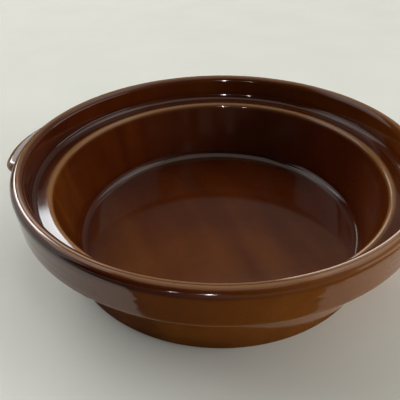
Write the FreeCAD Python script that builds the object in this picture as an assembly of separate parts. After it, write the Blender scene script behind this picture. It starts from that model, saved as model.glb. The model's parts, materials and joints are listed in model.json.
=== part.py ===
import FreeCAD, Part
import math
import os

# Round stoneware casserole dish without its lid, in millimetres.
# The origin is the centre of the foot's standing plane, +Z is up, and the two lugs lie on -X and +X.

# Overall size
rim_diameter = 250.0          # across the outside of the rolled rim
overall_height = 68.8         # table to the top of the rim

# Rim and collar, the band that stands outside the lid seat
rim_thickness = 8.0           # thickness of the collar wall, and width of the full-round rim
collar_height = 22.8          # underside of the collar to the top of the rim
collar_lean = 1.1             # how far the collar leans in from the rolled rim to its bottom edge
collar_edge_bevel = 1.0       # bevel of the collar's bottom edge
underside_flare = 4.0         # splay that carries the lower wall into the collar's underside

# Lid seat
seat_depth = 18.5             # top of the rim down to the ledge that carries the lid
seat_width = 12.0             # collar wall to the inner edge of the ledge
seat_cove_radius = 4.5        # hollow between the collar wall and the ledge
seat_edge_bevel = 2.0         # bevel of the ledge's inner edge

# Well, the part that holds the food
floor_height = 6.4            # table to the inside of the floor
well_lean = 9.0               # how far the well wall leans in from the ledge to the floor
floor_fillet_radius = 7.5

# Lower wall and foot
wall_thickness = 7.0          # of the well wall, measured level, at the lid seat
lower_wall_lean = 11.6        # how far the lower wall leans in from the collar to the foot
foot_width = 6.5              # standing ring, from the lower wall to the recess
foot_edge_bevel = 0.9         # bevel of the foot's outer edge
foot_recess = 1.4             # how far the middle of the base stands clear of the table
foot_recess_slope = 1.6       # how far the recess leans in from the standing ring

# Lug handles
lug_span = 68.0               # along the rim
lug_reach = 14.8              # how far the lug stands out from the collar
lug_thickness = 7.6
lug_drop = 9.4                # top of the rim down to the top of the lug
lug_bow_radius = 74.0         # plan radius of the outer edge
lug_corner_radius = 9.0       # plan radius of the two outer corners
lug_edge_bevel = 2.2          # bevel along the outer edge, top and bottom

# Heights and radii that follow from the sizes above
rim_radius = rim_diameter / 2
roll_radius = rim_thickness / 2
roll_height = overall_height - roll_radius
bore_radius = rim_radius - rim_thickness
collar_bottom_height = overall_height - collar_height
collar_bottom_radius = rim_radius - collar_lean
seat_height = overall_height - seat_depth
seat_edge = bore_radius - seat_width
floor_radius = seat_edge - well_lean
step_radius = seat_edge + wall_thickness
foot_radius = step_radius - lower_wall_lean
foot_inner_radius = foot_radius - foot_width

centre = FreeCAD.Vector(0, 0, 0)
up = FreeCAD.Vector(0, 0, 1)


def room_towards(neighbour, corner):
    """Return how much of the edge between two corners an arc may take: half where both are rounded."""
    point, radius, kind = neighbour
    length = point.distanceToPoint(corner)
    return length / 2 if radius > 0 else length


def arc_at_corner(before, corner, after, radius):
    """Return the start, middle and end of the arc that rounds a corner, no larger than its edges allow."""
    room = min(room_towards(before, corner), room_towards(after, corner))
    to_before = before[0] - corner
    to_after = after[0] - corner
    half_angle = to_before.getAngle(to_after) / 2
    reach = min(radius / math.tan(half_angle), room)
    radius = reach * math.tan(half_angle)
    to_before.normalize()
    to_after.normalize()
    bisector = to_before + to_after
    bisector.normalize()
    centre_distance = radius / math.sin(half_angle)
    start = corner + to_before * reach
    middle = corner + bisector * (centre_distance - radius)
    end = corner + to_after * reach
    return start, middle, end


def rounded_outline(corners):
    """Return a closed wire through (point, rounding, kind of curve), with a tangent arc at each rounding."""
    edges = []
    joints = []
    for index, (point, radius, kind) in enumerate(corners):
        if radius == 0:
            joints.append((point, point))
            continue
        before = corners[index - 1]
        after = corners[(index + 1) % len(corners)]
        start, middle, end = arc_at_corner(before, point, after, radius)
        joints.append((start, end))
        arc = Part.Arc(start, middle, end)
        curve = arc.toBSpline() if kind == "spline" else arc
        edges.append(curve.toShape())
    for index, (start, end) in enumerate(joints):
        next_start = joints[(index + 1) % len(joints)][0]
        if end.distanceToPoint(next_start) > 1e-6:
            edges.append(Part.LineSegment(end, next_start).toShape())
    return Part.Wire(Part.__sortEdges__(edges))


def section_corner(radius, height, rounding=0, kind="spline"):
    """Return a corner of the half section, which is drawn in the YZ plane, clear of the lugs.

    Roundings of about a right angle are drawn as splines, and the shallower one at the floor as an arc.
    """
    return FreeCAD.Vector(0, radius, height), rounding, kind


def lower_wall_radius_at(height):
    """Return the lower wall's outside radius at a height between the table and the collar."""
    return foot_radius + lower_wall_lean * height / collar_bottom_height


def well_radius_at(height):
    """Return the well wall's radius at a height between the floor and the ledge."""
    share = (height - floor_height) / (seat_height - floor_height)
    return floor_radius + share * well_lean


def collar_radius_at(height):
    """Return the collar's outside radius at a height between its bottom edge and the rolled rim."""
    share = (height - collar_bottom_height) / (roll_height - collar_bottom_height)
    return collar_bottom_radius + share * collar_lean


def outside_corners():
    """Return the outside of the half section, from the foot's edge up to the top of the rim."""
    flare_height = collar_bottom_height - underside_flare
    bevel_height = collar_bottom_height + collar_edge_bevel
    return [
        section_corner(foot_radius - foot_edge_bevel, 0),
        section_corner(lower_wall_radius_at(foot_edge_bevel), foot_edge_bevel),
        section_corner(lower_wall_radius_at(flare_height), flare_height),
        section_corner(step_radius + underside_flare, collar_bottom_height),
        section_corner(collar_bottom_radius - collar_edge_bevel, collar_bottom_height),
        section_corner(collar_radius_at(bevel_height), bevel_height),
        section_corner(rim_radius, roll_height),
        section_corner(rim_radius, overall_height, roll_radius),
    ]


def inside_corners():
    """Return the inside of the half section, from the top of the rim down to the middle of the floor."""
    return [
        section_corner(bore_radius, overall_height, roll_radius),
        section_corner(bore_radius, seat_height, seat_cove_radius),
        section_corner(seat_edge + seat_edge_bevel, seat_height),
        section_corner(well_radius_at(seat_height - seat_edge_bevel), seat_height - seat_edge_bevel),
        section_corner(floor_radius, floor_height, floor_fillet_radius, "arc"),
        section_corner(0, floor_height),
    ]


def underside_corners():
    """Return the underside of the half section, from the middle of the base out to the foot."""
    return [
        section_corner(0, foot_recess),
        section_corner(foot_inner_radius - foot_recess_slope, foot_recess),
        section_corner(foot_inner_radius, 0),
    ]


def stoneware_body():
    """Return the turned body: foot, well, lid seat, collar and rolled rim in one clay wall.

    The half section is turned through one of twelve equal sectors, and the sectors are joined.
    """
    section = Part.Face(rounded_outline(underside_corners() + outside_corners() + inside_corners()))
    sector_count = 12
    sector_angle = 360 / sector_count
    sectors = []
    for index in range(sector_count):
        sector = section.revolve(centre, up, sector_angle)
        sector.rotate(centre, up, index * sector_angle)
        sectors.append(sector)
    return sectors[0].multiFuse(sectors[1:]).Solids[0]


def body_envelope():
    """Return the body's outside as a full solid, which shapes whatever is luted onto it."""
    axis_bottom = section_corner(0, 0)
    axis_top = section_corner(0, overall_height)
    outline = rounded_outline([axis_bottom] + outside_corners() + [axis_top])
    return Part.Face(outline).revolve(centre, up, 360)


def lug_outline(level):
    """Return the plan of a lug on +X: a bowed outer edge, two round corners and straight ends."""
    middle_height = overall_height - lug_drop - lug_thickness / 2
    tip = collar_radius_at(middle_height) + lug_reach
    bow_centre = tip - lug_bow_radius
    half_span = lug_span / 2
    corner_y = half_span - lug_corner_radius
    corner_reach = lug_bow_radius - lug_corner_radius
    corner_x = bow_centre + math.sqrt(corner_reach ** 2 - corner_y ** 2)
    root_x = bore_radius * math.cos(math.asin(half_span / bore_radius))

    bow_angle = math.atan2(corner_y, corner_x - bow_centre)
    bow_end = FreeCAD.Vector(bow_centre + lug_bow_radius * math.cos(bow_angle),
                             lug_bow_radius * math.sin(bow_angle), level)
    turn = (bow_angle + math.pi / 2) / 2
    corner_middle = FreeCAD.Vector(corner_x + lug_corner_radius * math.cos(turn),
                                   corner_y + lug_corner_radius * math.sin(turn), level)
    corner_end = FreeCAD.Vector(corner_x, half_span, level)
    root = FreeCAD.Vector(root_x, half_span, level)
    bow_middle = FreeCAD.Vector(tip, 0, level)

    def mirrored(point):
        return FreeCAD.Vector(point.x, -point.y, point.z)

    return Part.Wire([
        Part.LineSegment(mirrored(root), mirrored(corner_end)).toShape(),
        Part.Arc(mirrored(corner_end), mirrored(corner_middle), mirrored(bow_end)).toShape(),
        Part.Arc(mirrored(bow_end), bow_middle, bow_end).toShape(),
        Part.Arc(bow_end, corner_middle, corner_end).toShape(),
        Part.LineSegment(corner_end, root).toShape(),
        Part.LineSegment(root, mirrored(root)).toShape(),
    ])


def lug_handle(angle):
    """Return one lug, turned to its place round the rim and seated on the collar's outside."""
    bottom = overall_height - lug_drop - lug_thickness
    plate = Part.Face(lug_outline(bottom)).extrude(FreeCAD.Vector(0, 0, lug_thickness))
    outer_edges = [edge for edge in plate.Edges if is_outer_edge(edge)]
    lug = plate.makeChamfer(lug_edge_bevel, outer_edges)
    lug = lug.cut(body_envelope())
    lug.rotate(centre, up, angle)
    return lug.Solids[0]


def is_outer_edge(edge):
    """Tell whether an edge of the lug's plate is level and is not its hidden root."""
    box = edge.BoundBox
    is_level = box.ZLength < 1e-6
    is_root = box.XLength < 1e-6
    return is_level and not is_root


def main():
    os.makedirs("parts", exist_ok=True)
    stoneware_body().exportStep("parts/stoneware_body.step")
    lug_handle(180).exportStep("parts/lug_handle_left.step")
    lug_handle(0).exportStep("parts/lug_handle_right.step")


main()
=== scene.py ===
import json
import math

import bpy
import numpy as np
from mathutils import Matrix, Vector


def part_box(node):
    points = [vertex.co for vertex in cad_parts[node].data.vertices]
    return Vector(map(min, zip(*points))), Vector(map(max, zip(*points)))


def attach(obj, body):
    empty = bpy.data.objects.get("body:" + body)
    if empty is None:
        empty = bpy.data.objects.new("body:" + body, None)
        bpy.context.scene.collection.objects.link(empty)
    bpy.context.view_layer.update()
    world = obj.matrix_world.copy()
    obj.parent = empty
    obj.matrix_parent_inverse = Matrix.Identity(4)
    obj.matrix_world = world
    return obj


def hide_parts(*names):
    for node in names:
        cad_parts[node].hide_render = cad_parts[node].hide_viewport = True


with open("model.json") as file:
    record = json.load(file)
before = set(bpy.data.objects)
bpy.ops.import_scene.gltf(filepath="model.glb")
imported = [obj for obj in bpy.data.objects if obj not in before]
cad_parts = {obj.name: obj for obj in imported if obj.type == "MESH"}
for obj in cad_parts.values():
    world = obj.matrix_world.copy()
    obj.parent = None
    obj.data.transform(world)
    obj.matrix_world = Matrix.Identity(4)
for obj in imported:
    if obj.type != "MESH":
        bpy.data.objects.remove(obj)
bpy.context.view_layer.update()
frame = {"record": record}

# A round brown-glazed stoneware casserole dish without its lid, in metres.
# The axis is Z, the foot stands on Z = 0, and the lugs lie on -X and +X.

MM = 0.001


def mount(name):
    """Return the record's mount of that name."""
    return next(m for m in frame["record"]["mounts"] if m["name"] == name)


# Sizes read from the frame
body_low, body_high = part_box("stoneware_body")
rim_radius = body_high.x
overall_height = body_high.z
gallery_radius = mount("lid_gallery")["dims"]["r_mm"] * MM
seat_height = mount("lid_seat")["pos_m"][2]
lug_low, lug_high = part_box("lug_handle_right")

# Rim, collar and lid seat
roll_radius = (rim_radius - gallery_radius) / 2
collar_height = 22.8 * MM
collar_bottom_height = overall_height - collar_height
collar_lean = 1.1 * MM
collar_edge_rounding = 1.3 * MM
underside_cove = 4.5 * MM
seat_width = 12.0 * MM
seat_cove = 4.5 * MM
seat_edge_rounding = 2.9 * MM
seat_edge_radius = gallery_radius - seat_width

# Well, lower wall and foot
floor_height = 6.4 * MM
well_lean = 9.0 * MM
floor_radius = seat_edge_radius - well_lean
floor_fillet = 7.5 * MM
wall_thickness = 7.0 * MM
step_radius = seat_edge_radius + wall_thickness
lower_wall_lean = 11.6 * MM
foot_radius = step_radius - lower_wall_lean
foot_rounding = 1.3 * MM
foot_width = 6.5 * MM
foot_inner_radius = foot_radius - foot_width
foot_recess = 1.4 * MM
foot_recess_slope = 1.6 * MM
foot_inner_rounding = 0.6 * MM


# Mesh helpers

def wobble(angle, along, seed, waves=(2, 3, 5, 8), wavelength=0.05):
    """Return a smooth value between -1 and 1 that varies round the dish and along its outline."""
    rng = np.random.default_rng(seed)
    total = 0.0
    weight = 0.0
    for wave in waves:
        share = 1.0 / wave ** 0.7
        turn, shift = rng.uniform(0, 2 * math.pi, 2)
        slant = rng.uniform(-1.0, 1.0) * 2 * math.pi / wavelength
        round_dish = np.cos(wave * angle + turn + slant * along)
        total = total + share * round_dish * np.cos(shift + 0.6 * slant * along)
        weight += share
    return total / weight


def arc_points(before, corner, after, rounding, step):
    """Return points along the arc that rounds a corner of an outline."""
    to_before = (before - corner) / np.linalg.norm(before - corner)
    to_after = (after - corner) / np.linalg.norm(after - corner)
    half_angle = math.acos(np.clip(to_before @ to_after, -1, 1)) / 2
    reach = rounding / math.tan(half_angle)
    bisector = (to_before + to_after) / np.linalg.norm(to_before + to_after)
    centre = corner + bisector * rounding / math.sin(half_angle)
    start = corner + to_before * reach - centre
    end = corner + to_after * reach - centre
    turn = math.pi - 2 * half_angle
    count = max(3, math.ceil(turn / step))
    side = np.sign(start[0] * end[1] - start[1] * end[0])
    angles = np.linspace(0, side * turn, count + 1)
    return [centre + np.array([start[0] * math.cos(a) - start[1] * math.sin(a),
                               start[0] * math.sin(a) + start[1] * math.cos(a)]) for a in angles]


def smooth_outline(corners, spacing, step):
    """Return an outline through (radius, height, rounding) corners, with arcs and divided straights."""
    points = [np.array(corner[:2]) for corner in corners]
    path = [points[0]]
    for index in range(1, len(corners)):
        rounding = corners[index][2]
        if rounding > 0:
            run = arc_points(points[index - 1], points[index], points[index + 1], rounding, step)
        else:
            run = [points[index]]
        length = np.linalg.norm(run[0] - path[-1])
        count = max(1, math.ceil(length / spacing))
        start = path[-1]
        for share in np.arange(1, count) / count:
            path.append(start + (run[0] - start) * share)
        path += run
    path = np.array(path)
    steps = np.linalg.norm(np.diff(path, axis=0), axis=1)
    return path[np.r_[True, steps > 1e-7]]


def bend_of(path):
    """Return how sharply an outline bends, per metre: positive on edges and negative in hollows."""
    ahead = np.diff(path, axis=0)
    lengths = np.linalg.norm(ahead, axis=1)
    heading = np.unwrap(np.arctan2(ahead[:, 1], ahead[:, 0]))
    bend = np.zeros(len(path))
    bend[1:-1] = np.diff(heading) / ((lengths[1:] + lengths[:-1]) / 2)
    return bend


def blurred_along(values, path, reach):
    """Return values averaged along an outline with a bell of the given half width."""
    along = np.r_[0, np.cumsum(np.linalg.norm(np.diff(path, axis=0), axis=1))]
    weight = np.gradient(along)
    bell = np.exp(-((along[:, None] - along[None]) / reach) ** 2) * weight[None]
    return (bell @ values) / bell.sum(1)


def mesh_object(name, vertices, faces, attributes):
    """Return a smooth-shaded mesh object with one float attribute for each name."""
    mesh = bpy.data.meshes.new(name)
    mesh.from_pydata(vertices.tolist(), [], faces)
    mesh.shade_smooth()
    for key, values in attributes.items():
        attribute = mesh.attributes.new(key, "FLOAT", "POINT")
        attribute.data.foreach_set("value", np.asarray(values, np.float32))
    mesh.validate()
    obj = bpy.data.objects.new(name, mesh)
    bpy.context.scene.collection.objects.link(obj)
    return obj


def turned_mesh(name, path, attributes, radial_shift, segments):
    """Return a body turned round Z from an outline that starts and ends on the axis."""
    angles = np.linspace(0, 2 * math.pi, segments, endpoint=False)
    along = np.r_[0, np.cumsum(np.linalg.norm(np.diff(path, axis=0), axis=1))]
    inner = path[1:-1]
    radius = inner[:, 0][:, None] + radial_shift(angles[None], along[1:-1][:, None])
    height = np.repeat(inner[:, 1][:, None], segments, axis=1)
    rings = np.stack([radius * np.cos(angles), radius * np.sin(angles), height], axis=-1)
    vertices = np.vstack([[0, 0, path[0, 1]], rings.reshape(-1, 3), [0, 0, path[-1, 1]]])
    last = len(vertices) - 1
    faces = []
    ring = np.arange(segments)
    following = (ring + 1) % segments
    for a, b in zip(ring, following):
        faces.append((0, 1 + b, 1 + a))
        faces.append((last, last - segments + a, last - segments + b))
    for row in range(len(inner) - 1):
        low = 1 + row * segments
        high = low + segments
        faces += [(low + a, low + b, high + b, high + a) for a, b in zip(ring, following)]
    spread = {}
    for key, values in attributes.items():
        spread[key] = np.r_[values[0], np.repeat(values[1:-1], segments), values[-1]]
    return mesh_object(name, vertices, faces, spread)


# Body

def body_outline():
    """Return the section from the middle of the base, up the outside and down to the floor's middle."""
    full_round = roll_radius * 0.999
    corners = [
        (0, foot_recess, 0),
        (foot_inner_radius - foot_recess_slope, foot_recess, foot_inner_rounding),
        (foot_inner_radius, 0, foot_inner_rounding),
        (foot_radius, 0, foot_rounding),
        (step_radius, collar_bottom_height, underside_cove),
        (rim_radius - collar_lean, collar_bottom_height, collar_edge_rounding),
        (rim_radius, overall_height, full_round),
        (gallery_radius, overall_height, full_round),
        (gallery_radius, seat_height, seat_cove),
        (seat_edge_radius, seat_height, seat_edge_rounding),
        (floor_radius, floor_height, floor_fillet),
        (0, floor_height, 0),
    ]
    return smooth_outline(corners, spacing=1.6 * MM, step=math.radians(7))


def glaze_attributes(path):
    """Return how the glaze lies at each point of the outline, and where shade is painted on it.

    Thin is where it runs off an edge or the roll's crown, and pool where it gathers in a hollow.
    Wall is how steep the surface is, and bare is the unglazed ring. Outside lies before the roll's top,
    and roll_shade is the band of the roll below its crown, where painted shade darkens the glaze for the
    dark room it mirrors.
    """
    bend = bend_of(path)
    heading = np.gradient(path, axis=0)
    heading /= np.linalg.norm(heading, axis=1)[:, None]
    upward = -heading[:, 0]
    radius, height = path[:, 0], path[:, 1]
    before_top = np.arange(len(path)) < height.argmax()

    roll_bend = 1 / roll_radius
    sharp = np.clip((bend - roll_bend - 6) / 20, 0, 1)
    crown = np.clip(bend / roll_bend, 0, 1) * np.clip((upward - 0.86) / 0.12, 0, 1)
    edge = blurred_along(0.85 * sharp + crown, path, 0.7 * MM)
    full_pool = 160
    hollow = blurred_along(np.clip(-bend, 0, roll_bend), path, 2.2 * MM)
    on_ring = (radius > foot_inner_radius - 1.0 * MM) & (radius < foot_radius - 0.6 * MM)
    bare = (on_ring & (height < 0.9 * MM)).astype(float)
    below_crown = (height > overall_height - 5.0 * MM) & (height < overall_height - 0.7 * MM)
    roll_shade = (below_crown & before_top).astype(float)
    return {
        "outside": blurred_along(before_top.astype(float), path, 1.2 * MM),
        "roll_shade": blurred_along(roll_shade, path, 1.0 * MM),
        "thin": np.clip(edge, 0, 1),
        "pool": np.clip(hollow / full_pool, 0, 1),
        "wall": blurred_along(np.abs(heading[:, 1]), path, 3 * MM),
        "bare": blurred_along(bare, path, 0.5 * MM),
    }


def hand_made_shift(angle, along):
    """Return how far each point of the body stands in from a perfect turning, never outside it."""
    unevenness = 0.16 * MM
    return -unevenness * (0.5 - 0.5 * wobble(angle, along, seed=11, wavelength=0.22))


def make_body():
    """Return the turned body, which takes the place of the stoneware_body solid."""
    path = body_outline()
    body = turned_mesh("dish_body", path, glaze_attributes(path), hand_made_shift, segments=360)
    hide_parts("stoneware_body")
    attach(body, "root")
    return body


# Lugs

lug_bow_radius = 74.0 * MM
lug_corner_rounding = 9.0 * MM
lug_root_flare = 3.5 * MM      # hollow in plan where the lug's ends meet the collar


def lug_plan():
    """Return the lug's plan outline on +X, from one root through the bow to the other."""
    half_span = lug_high.y
    bow_centre = lug_high.x - lug_bow_radius
    corner_y = half_span - lug_corner_rounding
    reach = lug_bow_radius - lug_corner_rounding
    corner_x = bow_centre + math.sqrt(reach ** 2 - corner_y ** 2)
    bow_end = math.atan2(corner_y, corner_x - bow_centre)
    bow = [(bow_centre + lug_bow_radius * math.cos(a), lug_bow_radius * math.sin(a))
           for a in np.linspace(0, bow_end, 24)]
    corner = [(corner_x + lug_corner_rounding * math.cos(a), corner_y + lug_corner_rounding * math.sin(a))
              for a in np.linspace(bow_end, math.pi / 2, 16)[1:]]
    collar = collar_outside_at((lug_low.z + lug_high.z) / 2)
    flare_y = half_span + lug_root_flare
    flare_x = math.sqrt((collar + lug_root_flare) ** 2 - flare_y ** 2)
    flare = [(flare_x - lug_root_flare * math.sin(a), flare_y - lug_root_flare * math.cos(a))
             for a in np.linspace(0, math.radians(72), 10)]
    half = np.array(bow + corner + flare)
    mirrored = half[:0:-1] * [1, -1]
    return np.vstack([mirrored, half])


def collar_outside_at(height):
    """Return the collar's outside radius at a height."""
    share = (height - collar_bottom_height) / (overall_height - roll_radius - collar_bottom_height)
    return rim_radius - collar_lean * (1 - min(share, 1.0))


def resampled(points, count):
    """Return a polyline divided evenly into count points."""
    along = np.r_[0, np.cumsum(np.linalg.norm(np.diff(points, axis=0), axis=1))]
    even = np.linspace(0, along[-1], count)
    return np.stack([np.interp(even, along, points[:, k]) for k in (0, 1)], axis=1)


def lug_surface():
    """Return the lug as a grid of plan points, with the rise from its middle plane at each.

    The middle plane's height follows, and then where the glaze is thin and where it pools.
    """
    outline = resampled(lug_plan(), 241)
    half_thickness = (lug_high.z - lug_low.z) / 2
    middle = (lug_high.z + lug_low.z) / 2
    nose = 3.6 * MM                # from the edge to where the lug has its full thickness
    flare_radius = 2.6 * MM        # of the clay fillet at the collar
    sunk = 1.6 * MM                # how far the root runs into the collar
    collar = collar_outside_at(middle)

    angle_out = np.arctan2(outline[:, 1], outline[:, 0])
    root_radius = collar - sunk
    root = np.stack([root_radius * np.cos(angle_out), root_radius * np.sin(angle_out)], axis=1)
    share = 1 - np.cos(np.linspace(0, 1, 33) * math.pi / 2)
    plan = outline[:, None] + (root - outline)[:, None] * share[None, :, None]
    flat = plan.reshape(-1, 2)

    start, end = outline[:-1], outline[1:]
    run = end - start
    offset = flat[:, None] - start[None]
    position = np.clip((offset * run).sum(-1) / (run ** 2).sum(-1), 0, 1)
    from_edge = np.linalg.norm(offset - position[..., None] * run, axis=-1).min(1).reshape(plan.shape[:2])
    from_edge[:, 0] = 0

    inside = np.clip(1 - from_edge / nose, 0, 1)
    fullness = np.sqrt(1 - inside ** 2)
    from_collar = np.clip(np.linalg.norm(plan, axis=-1) - collar, 0, flare_radius)
    flare = flare_radius - np.sqrt(flare_radius ** 2 - (flare_radius - from_collar) ** 2)
    rise = fullness * (half_thickness + flare)
    thin = 0.35 + 0.65 * np.exp(-((from_edge - 0.9 * MM) / (1.6 * MM)) ** 2)
    pool = np.exp(-(from_collar / (1.5 * MM)) ** 2) * np.clip(from_edge / (2 * MM), 0, 1)
    return plan, rise, middle, thin, pool


def make_lug(name, node, turn):
    """Return one lug with rounded edges and a clay fillet where it is luted to the collar."""
    plan, rise, middle, thin, pool = lug_surface()
    rows, columns = rise.shape
    within_solid = 0.98            # share of the thickness, which leaves room for the sag
    sag = 0.09 * MM * wobble(plan[..., 0] * 60, plan[..., 1], seed=5 + int(turn > 0), wavelength=0.04)
    sag = sag * rise / rise.max()
    upper = np.dstack([plan, middle + rise * within_solid + sag])
    lower = np.dstack([plan, middle - rise * within_solid + sag])[:, 1:]
    vertices = np.vstack([upper.reshape(-1, 3), lower.reshape(-1, 3)])

    def upper_at(i, j):
        return i * columns + j

    def lower_at(i, j):
        return upper_at(i, 0) if j == 0 else rows * columns + i * (columns - 1) + j - 1

    faces = []
    for i in range(rows - 1):
        for j in range(columns - 1):
            around = ((i, j), (i, j + 1), (i + 1, j + 1), (i + 1, j))
            faces.append(tuple(upper_at(*corner) for corner in around))
            faces.append(tuple(lower_at(*corner) for corner in (around[0], *around[:0:-1])))
        faces.append((upper_at(i, columns - 1), lower_at(i, columns - 1),
                      lower_at(i + 1, columns - 1), upper_at(i + 1, columns - 1)))
    for i in (0, rows - 1):
        rim = [upper_at(i, j) for j in range(columns)]
        rim += [lower_at(i, j) for j in range(columns - 1, 0, -1)]
        faces.append(tuple(rim) if i == 0 else tuple(reversed(rim)))
    turning = np.array(Matrix.Rotation(turn, 3, "Z"))
    nowhere = np.zeros(len(vertices))
    attributes = {
        "thin": np.r_[thin.ravel(), thin[:, 1:].ravel()],
        "pool": np.r_[pool.ravel(), pool[:, 1:].ravel()],
        "wall": nowhere,
        "bare": nowhere,
        "outside": nowhere + 1,
        "roll_shade": nowhere,
    }
    lug = mesh_object(name, vertices @ turning.T, faces, attributes)
    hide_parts(node)
    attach(lug, "root")
    return lug


# Materials

# How much more amber the glaze is per metre towards +X and +Y: partly the glaze's own shift across the dish
# and partly painted light and shade, more amber where the room's light falls and darker where the walls are
# in shade
glaze_and_light_slope_inside = (-0.5, -1.5)
glaze_and_light_slope_gallery = (0.7, 0.5)     # on the collar's inside
glaze_and_light_slope_outside = (2.6, -0.4)

# Share of amber in the glaze, and how far each pattern moves it
inside_level = 0.32
outside_level = 0.44
left_drop = 0.06               # inside, near the left lug
lower_wall_lift = 0.13
run_swing = 0.52
brush_swing = 0.35
cloud_swing = 0.30
mottle_swing = 0.10
pool_drop = 0.18
roll_shade_depth = (0.46, 0.06)      # painted shade on the roll's band below its crown, for the dark room it mirrors, at the left and the right of the roll

run_radius = 0.11              # metres, the radius on which the runs of glaze are laid out
brush_heading = -59.0          # degrees, the way the brushed passes lie on the floor
brush_length = 5.0             # times their width

glaze_tones = (
    (0.0, (0.033, 0.0047, 0.0016, 1)),
    (0.3, (0.078, 0.0152, 0.0024, 1)),
    (0.6, (0.160, 0.046, 0.0048, 1)),
    (1.0, (0.36, 0.125, 0.020, 1)),
)
thin_tone = (0.265, 0.125, 0.045, 1)
speck_tone = (0.020, 0.006, 0.003, 1)
clay_tones = (0.36, 0.235, 0.14, 1), (0.56, 0.42, 0.29, 1)
paper_tones = (0.79, 0.82, 0.775, 1), (0.83, 0.86, 0.815, 1)

# Relief, in metres
wave_height = 30e-6
peel_height = 1.5e-6
ridge_height = 6e-6
collar_ridge_height = 132e-6   # what the collar has besides
grit_height = 180e-6


class Nodes:
    """Adds nodes to a material or the world, with each input given as a value or another node's output."""

    def __init__(self, owner):
        owner.use_nodes = True
        self.owner = owner
        self.tree = owner.node_tree
        self.tree.nodes.clear()

    def add(self, kind, settings=None, **inputs):
        node = self.tree.nodes.new(kind)
        for key, value in (settings or {}).items():
            setattr(node, key, value)
        for key, value in inputs.items():
            self.put(node.inputs[key.replace("_", " ")], value)
        return node

    def put(self, socket, value):
        if isinstance(value, bpy.types.NodeSocket):
            self.tree.links.new(value, socket)
        else:
            socket.default_value = value

    def value(self, operation, *values, clamp=False):
        node = self.tree.nodes.new("ShaderNodeMath")
        node.operation = operation
        node.use_clamp = clamp
        for socket, value in zip(node.inputs, values):
            self.put(socket, value)
        return node.outputs[0]

    def plus(self, first, *others):
        for other in others:
            first = self.value("ADD", first, other)
        return first

    def times(self, first, *others):
        for other in others:
            first = self.value("MULTIPLY", first, other)
        return first

    def between(self, first, second, share):
        """Return the value that lies at a share of the way from the first to the second."""
        return self.plus(first, self.times(self.value("SUBTRACT", second, first), share))

    def swing(self, pattern, width):
        """Return a pattern of 0 to 1 as a swing of that width about zero."""
        return self.times(self.value("SUBTRACT", pattern, 0.5), width)

    def slope(self, x, y, rise):
        """Return a value that rises by so much per metre along each axis."""
        return self.plus(self.times(x, rise[0]), self.times(y, rise[1]))

    def mix(self, share, first, second):
        """Return the colour that lies at a share of the way from the first to the second."""
        node = self.tree.nodes.new("ShaderNodeMix")
        node.data_type = "RGBA"
        self.put(node.inputs["Factor"], share)
        self.put(node.inputs["A"], first)
        self.put(node.inputs["B"], second)
        return node.outputs["Result"]

    def ramp(self, value, low, high, to_low=0.0, to_high=1.0):
        """Return a value that goes softly from to_low to to_high, as the given one goes from low to high."""
        node = self.add("ShaderNodeMapRange", {"interpolation_type": "SMOOTHSTEP"})
        for key, item in zip(("Value", "From Min", "From Max", "To Min", "To Max"),
                             (value, low, high, to_low, to_high)):
            self.put(node.inputs[key], item)
        return node.outputs["Result"]

    def noise(self, vector, scale, detail=2.0, roughness=0.5):
        node = self.add("ShaderNodeTexNoise", Vector=vector, Scale=scale, Detail=detail, Roughness=roughness)
        return node.outputs["Fac"]

    def attribute(self, name):
        return self.add("ShaderNodeAttribute", {"attribute_name": name}).outputs["Fac"]

    def axes(self, place):
        node = self.add("ShaderNodeSeparateXYZ", Vector=place)
        return [node.outputs[key] for key in "XYZ"]

    def radius(self, x, y):
        return self.value("SQRT", self.plus(self.times(x, x), self.times(y, y)))

    def combined(self, x, y, z):
        return self.add("ShaderNodeCombineXYZ", X=x, Y=y, Z=z).outputs["Vector"]

    def surface(self, shader, output="ShaderNodeOutputMaterial"):
        """Lead a shader to the output, and return the material or world."""
        self.put(self.add(output).inputs["Surface"], shader.outputs[0])
        return self.owner


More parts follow.
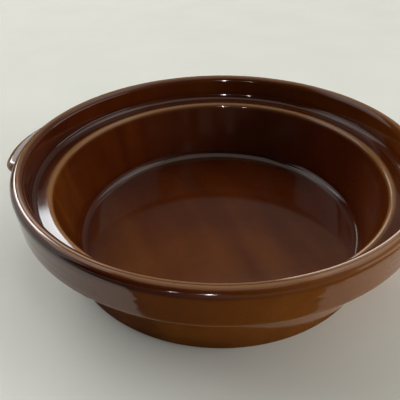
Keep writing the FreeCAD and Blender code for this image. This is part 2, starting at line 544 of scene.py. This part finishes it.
def amber_share(n, place):
    """Return how amber the glaze is: 0 is the dark brown where it lies thick, and 1 the palest. Painted
    light and shade are mixed into it.
    """
    x, y, z = n.axes(place)
    radius = n.radius(x, y)
    angle = n.value("ARCTAN2", y, x)
    outside = n.attribute("outside")

    # Runs of glaze down the walls, most of them on the left
    run_place = n.combined(n.times(n.value("COSINE", angle), run_radius),
                           n.times(n.value("SINE", angle), run_radius), n.times(z, 0.22))
    runs = n.noise(run_place, 60.0, detail=1.0, roughness=0.4)
    within = n.times(n.ramp(radius, seat_edge_radius, gallery_radius, 0.9, 0.30),
                     n.ramp(x, -0.08, 0.05, 1.0, 0.25))
    on_walls = n.times(n.swing(runs, run_swing), within)

    # Brushed passes across the flat floor
    turned = n.add("ShaderNodeMapping", {"vector_type": "TEXTURE"}, Vector=place)
    turned.inputs["Rotation"].default_value = (0, 0, math.radians(brush_heading))
    turned.inputs["Scale"].default_value = (brush_length, 1.0, 1.0)
    passes = n.noise(turned.outputs["Vector"], 55.0, detail=1.0, roughness=0.4)
    on_floor = n.swing(passes, brush_swing)

    steep = n.ramp(n.attribute("wall"), 0.35, 0.8)
    streaks = n.plus(n.times(on_walls, steep), n.times(on_floor, n.value("SUBTRACT", 1.0, steep)))

    gallery = n.ramp(radius, seat_edge_radius + 2 * MM, gallery_radius - 2 * MM)
    # Painted light and shade across the dish, besides the glaze's own shift: more amber where the room's
    # light falls, darker on the shaded back wall inside
    inner = n.between(n.slope(x, y, glaze_and_light_slope_inside), n.slope(x, y, glaze_and_light_slope_gallery), gallery)
    inner = n.plus(inner, n.ramp(x, -0.12, -0.04, inside_level - left_drop, inside_level))
    lower_wall = n.ramp(z, collar_bottom_height - 2 * MM, collar_bottom_height, lower_wall_lift, 0.0)
    outer = n.plus(n.slope(x, y, glaze_and_light_slope_outside), outside_level, lower_wall)

    cloud = n.noise(place, 16.0, detail=3.0, roughness=0.55)
    mottle = n.noise(place, 210.0, detail=4.0, roughness=0.6)
    amber = n.plus(n.between(inner, outer, outside), streaks,
                   n.swing(cloud, cloud_swing), n.swing(mottle, mottle_swing))
    amber = n.value("SUBTRACT", amber, n.times(n.attribute("pool"), pool_drop))
    # Painted shade: a darker band under the roll's crown on the outside, for the dark room it mirrors,
    # deepest on the left
    roll_shade = n.times(n.attribute("roll_shade"), n.ramp(x, -0.08, 0.09, *roll_shade_depth))
    return n.value("SUBTRACT", amber, roll_shade, clamp=True)


def glaze_colour(n, place):
    """Return the glaze's colour, with iron specks in it."""
    colour = n.add("ShaderNodeValToRGB", Fac=amber_share(n, place))
    stops = colour.color_ramp.elements
    stops[0].color = glaze_tones[0][1]
    stops[1].color = glaze_tones[-1][1]
    for position, tone in glaze_tones[1:-1]:
        stops.new(position).color = tone

    # Over edges the glaze runs thin, and the pale clay turns it olive brown
    thin = n.value("MULTIPLY", n.attribute("thin"), 0.85, clamp=True)
    colour = n.mix(thin, colour.outputs["Color"], thin_tone)
    specks = n.add("ShaderNodeTexVoronoi", {"feature": "F1"}, Vector=place, Scale=330.0)
    speck = n.ramp(specks.outputs["Distance"], 0.05, 0.13, 0.45, 0.0)
    return n.mix(speck, colour, speck_tone)


def glaze_relief(n, place, bare, grain):
    """Return the surface's height: slow waves, orange peel, turning ridges, and grit on the bare clay."""
    x, y, z = n.axes(place)
    waves = n.noise(place, 55.0, detail=2.0)
    peel = n.noise(place, 700.0, detail=2.0)
    ridge_place = n.combined(n.times(x, 0.06), n.times(y, 0.06), n.plus(n.times(n.radius(x, y), 0.35), z))
    ridges = n.noise(ridge_place, 260.0, detail=0.0)
    on_collar = n.times(n.attribute("outside"), n.attribute("wall"),
                        n.ramp(z, collar_bottom_height, collar_bottom_height + 2 * MM))
    height = n.plus(n.times(on_collar, collar_ridge_height), ridge_height)
    return n.plus(n.times(waves, wave_height), n.times(peel, peel_height), n.times(ridges, height),
                  n.times(grain, bare, grit_height))


def glaze_material():
    """Return the brown glaze: dark where it lies thick, amber where it runs thin, bare clay on the foot."""
    n = Nodes(bpy.data.materials.new("brown_glaze"))
    place = n.add("ShaderNodeTexCoord").outputs["Object"]

    # Bare clay on the standing ring, with an uneven glaze line
    line = n.noise(place, 320.0, detail=3.0)
    bare = n.ramp(n.plus(n.attribute("bare"), n.swing(line, 0.5)), 0.46, 0.56)
    grain = n.noise(place, 1400.0, detail=5.0, roughness=0.7)
    clay = n.mix(n.ramp(grain, 0.3, 0.7), *clay_tones)

    gloss = n.noise(place, 60.0, detail=3.0)
    roughness = n.plus(n.ramp(gloss, 0.3, 0.8, 0.085, 0.125), n.times(bare, 0.62))
    bump = n.add("ShaderNodeBump", Height=glaze_relief(n, place, bare, grain), Distance=1.0, Strength=1.0)
    shader = n.add("ShaderNodeBsdfPrincipled", Base_Color=n.mix(bare, glaze_colour(n, place), clay),
                   Roughness=roughness, IOR=1.5, Normal=bump.outputs["Normal"])
    return n.surface(shader)


def floor_material():
    """Return pale matt paper for the floor."""
    n = Nodes(bpy.data.materials.new("floor_paper"))
    place = n.add("ShaderNodeTexCoord").outputs["Object"]
    fibre = n.noise(place, 9.0, detail=3.0)
    tone = n.mix(n.ramp(fibre, 0.2, 0.8), *paper_tones)
    return n.surface(n.add("ShaderNodeBsdfPrincipled", Base_Color=tone, Roughness=0.75))


def card_material(name, tone):
    """Return dull card of one tone."""
    n = Nodes(bpy.data.materials.new(name))
    return n.surface(n.add("ShaderNodeBsdfPrincipled", Base_Color=tone, Roughness=0.9))


# Stage, lights and camera

view_heading = math.radians(13.3)      # the photograph looks this far left of +Y
view_elevation = math.radians(35.19)
view_roll = math.radians(-1.45)
camera_place = Vector((45.33, -246.02, 202.37)) * MM
focal_length = 40.55                   # millimetres
sensor_width = 36.0                    # millimetres

lighter_side = (0.75, 0.60, 0.28)      # towards the lighter side of the room
dim_tone = (0.02, 0.018, 0.015, 1)
lighter_tone = (0.29, 0.265, 0.225, 1)
floor_reach = 3.0                      # metres from the dish to the floor's edges
dish_middle = Vector((0, 0, 0.05))     # what lamps are placed round


def make_floor():
    """Add the pale floor that the dish stands on."""
    corners = [(-floor_reach, -floor_reach, 0), (floor_reach, -floor_reach, 0),
               (floor_reach, floor_reach, 0), (-floor_reach, floor_reach, 0)]
    floor = mesh_object("stage_floor", np.array(corners), [(0, 1, 2, 3)], {})
    floor.data.materials.append(floor_material())


def make_card(name, corners, tone, height=0.0005):
    """Add a card lying on the floor, seen only in the glaze.

    Its corners are in metres from the dish, to the right and away as the photograph looks.
    """
    heading = Matrix.Rotation(view_heading, 3, "Z")
    vertices = np.array([heading @ Vector((x, y, height)) for x, y in corners])
    card = mesh_object(name, vertices, [tuple(range(len(corners)))], {})
    card.data.materials.append(card_material(name, tone))
    card.visible_camera = False
    card.visible_diffuse = False
    card.visible_shadow = False


def make_cards():
    """Make what the glaze mirrors on the table.

    The bare wood shows before the paper, the paper is shaded behind, and the foot has its shadow.
    """
    dark_table = [(0.6, -0.04), (0.105, -0.1345), (0.09, -0.145), (0.063, -0.136), (0.03, -0.13),
                  (-0.03, -0.13), (-0.064, -0.1365), (-0.094, -0.151), (-0.6, -0.151),
                  (-0.6, -1.2), (0.6, -1.2)]
    far_table = [(-0.07, -0.205), (-0.1, -1.2), (1.2, -1.2), (0.6, -0.205)]
    shaded_paper = [(-0.35, 0.14), (0.35, 0.14), (0.8, 1.5), (-0.8, 1.5)]
    turns = np.linspace(0, 2 * math.pi, 72, endpoint=False)
    foot_shadow = [(0.115 * math.cos(a) - 0.02, 0.115 * math.sin(a)) for a in turns]
    make_card("stage_dark_table", dark_table, (0.05, 0.045, 0.04, 1))
    make_card("stage_far_table", far_table, (0.26, 0.235, 0.20, 1), 0.0008)
    make_card("stage_shaded_paper", shaded_paper, (0.13, 0.11, 0.09, 1))
    make_card("stage_foot_shadow", foot_shadow, (0.07, 0.055, 0.045, 1))


def softbox(name, azimuth, elevation, wide, high, radiance, colour, distance=8.0, in_gloss=True,
            in_diffuse=True, aim=dish_middle, grid=180):
    """Add a rectangular lamp.

    Its place and size are angles seen from the dish, in degrees, with azimuth from +X towards +Y.
    Radiance is its brightness, where white paper has 1. A lamp not in_gloss has no reflection.
    Grid is the angle in degrees, round the line to its aim, outside which a grid hides the lamp.
    """
    data = bpy.data.lights.new(name, "AREA")
    data.shape = "RECTANGLE"
    data.size = 2 * distance * math.tan(math.radians(wide / 2))
    data.size_y = 2 * distance * math.tan(math.radians(high / 2))
    data.color = colour
    data.spread = math.radians(grid)
    half_grid = math.radians(min(grid, 179.9) / 2)
    dimmed_by_grid = 1 - half_grid / math.tan(half_grid)
    data.energy = radiance * data.size * data.size_y * math.pi * dimmed_by_grid
    lamp = bpy.data.objects.new(name, data)
    turn, rise = math.radians(azimuth), math.radians(elevation)
    level = math.cos(rise)
    direction = Vector((math.cos(turn) * level, math.sin(turn) * level, math.sin(rise)))
    lamp.location = direction * distance + dish_middle
    lamp.rotation_euler = (lamp.location - Vector(aim)).to_track_quat("Z", "Y").to_euler()
    lamp.visible_camera = False
    lamp.visible_glossy = in_gloss
    lamp.visible_diffuse = in_diffuse
    bpy.context.scene.collection.objects.link(lamp)


def make_lights():
    """Light the dish as a room with windows on the left and behind does."""
    warm = (1.0, 0.98, 0.95)

    # Window panes near the dish, seen in the glaze alone
    softbox("window_left", 144.0, 36.8, 6.4, 8.9, 13.5, (0.90, 0.96, 1.0), distance=0.403,
            in_diffuse=False, aim=(-0.129, -0.029, 0.082), grid=70)
    softbox("window_side", 160.5, 31.3, 19.0, 24.2, 27.0, (1.0, 0.98, 0.96), distance=0.455,
            in_diffuse=False, aim=(-0.235, -0.089, 0.078), grid=64)
    softbox("window_behind", 79.6, 19.8, 17.4, 26, 5.0, (1.0, 0.93, 0.84), distance=0.32,
            in_diffuse=False, aim=(0.055, -0.13, 0.07), grid=38)

    # Gaps between things, walls and ceiling
    softbox("gap_behind", 104, 17, 14, 26, 0.2, warm)
    softbox("gap_left", 120, 20, 18, 18, 2.3, warm)
    softbox("wall_left", 167, 49, 34, 26, 1.3, warm)
    softbox("wall_behind", 110, 54, 35, 14, 0.6, warm)
    softbox("ceiling", 0, 88, 56, 56, 0.65, (1.0, 0.90, 0.76), in_diffuse=False)
    softbox("ceiling_right", 27, 52, 46, 26, 1.0, warm)
    softbox("side_right", 15, 9, 60, 18, 1.2, warm)
    softbox("low_front", -48, 4, 76, 7, 0.12, warm, in_diffuse=False)
    softbox("low_left", 180, 21, 52, 40, 0.8, warm, in_diffuse=False)

    # Two small lamps behind the camera, for the glints on the front of the roll
    softbox("lamp_left", -99.5, 9, 1.3, 2.0, 220.0, warm, in_diffuse=False)
    softbox("lamp_right", -83, 11, 1.9, 2.6, 330.0, warm, in_diffuse=False)

    # Plain soft light that isn't mirrored
    softbox("fill_right", -8, 26, 50, 24, 3.5, warm, in_gloss=False)
    softbox("fill_left", 158, 32, 54, 40, 2.5, warm, in_gloss=False)
    softbox("fill_behind", 90, 40, 50, 40, 0.8, warm, in_gloss=False)
    softbox("fill_above", 0, 88, 60, 60, 0.1, warm, in_gloss=False)


def make_world():
    """Make a dim room that is lighter on the right."""
    world = bpy.data.worlds.new("soft_room")
    n = Nodes(world)
    place = n.add("ShaderNodeTexCoord").outputs["Generated"]
    towards = n.add("ShaderNodeVectorMath", {"operation": "DOT_PRODUCT"})
    n.put(towards.inputs[0], place)
    n.put(towards.inputs[1], lighter_side)
    room = n.mix(n.ramp(towards.outputs["Value"], -0.1, 0.9), dim_tone, lighter_tone)
    n.surface(n.add("ShaderNodeBackground", Color=room), "ShaderNodeOutputWorld")
    bpy.context.scene.world = world


def make_camera():
    """Set up the camera as the photograph was taken."""
    data = bpy.data.cameras.new("photo_camera")
    data.lens = focal_length
    data.sensor_width = sensor_width
    data.clip_start = 0.01
    camera = bpy.data.objects.new("photo_camera", data)
    turn = Matrix.Rotation(view_heading, 4, "Z") @ Matrix.Rotation(math.pi / 2 - view_elevation, 4, "X")
    camera.matrix_world = Matrix.Translation(camera_place) @ turn @ Matrix.Rotation(view_roll, 4, "Z")
    bpy.context.scene.collection.objects.link(camera)
    bpy.context.scene.camera = camera


glaze = glaze_material()
pieces = [
    make_body(),
    make_lug("lug_right", "lug_handle_right", 0.0),
    make_lug("lug_left", "lug_handle_left", math.pi),
]
for piece in pieces:
    piece.data.materials.append(glaze)

make_floor()
make_cards()
make_lights()
make_world()
make_camera()
bpy.context.scene.view_settings.view_transform = "Standard"
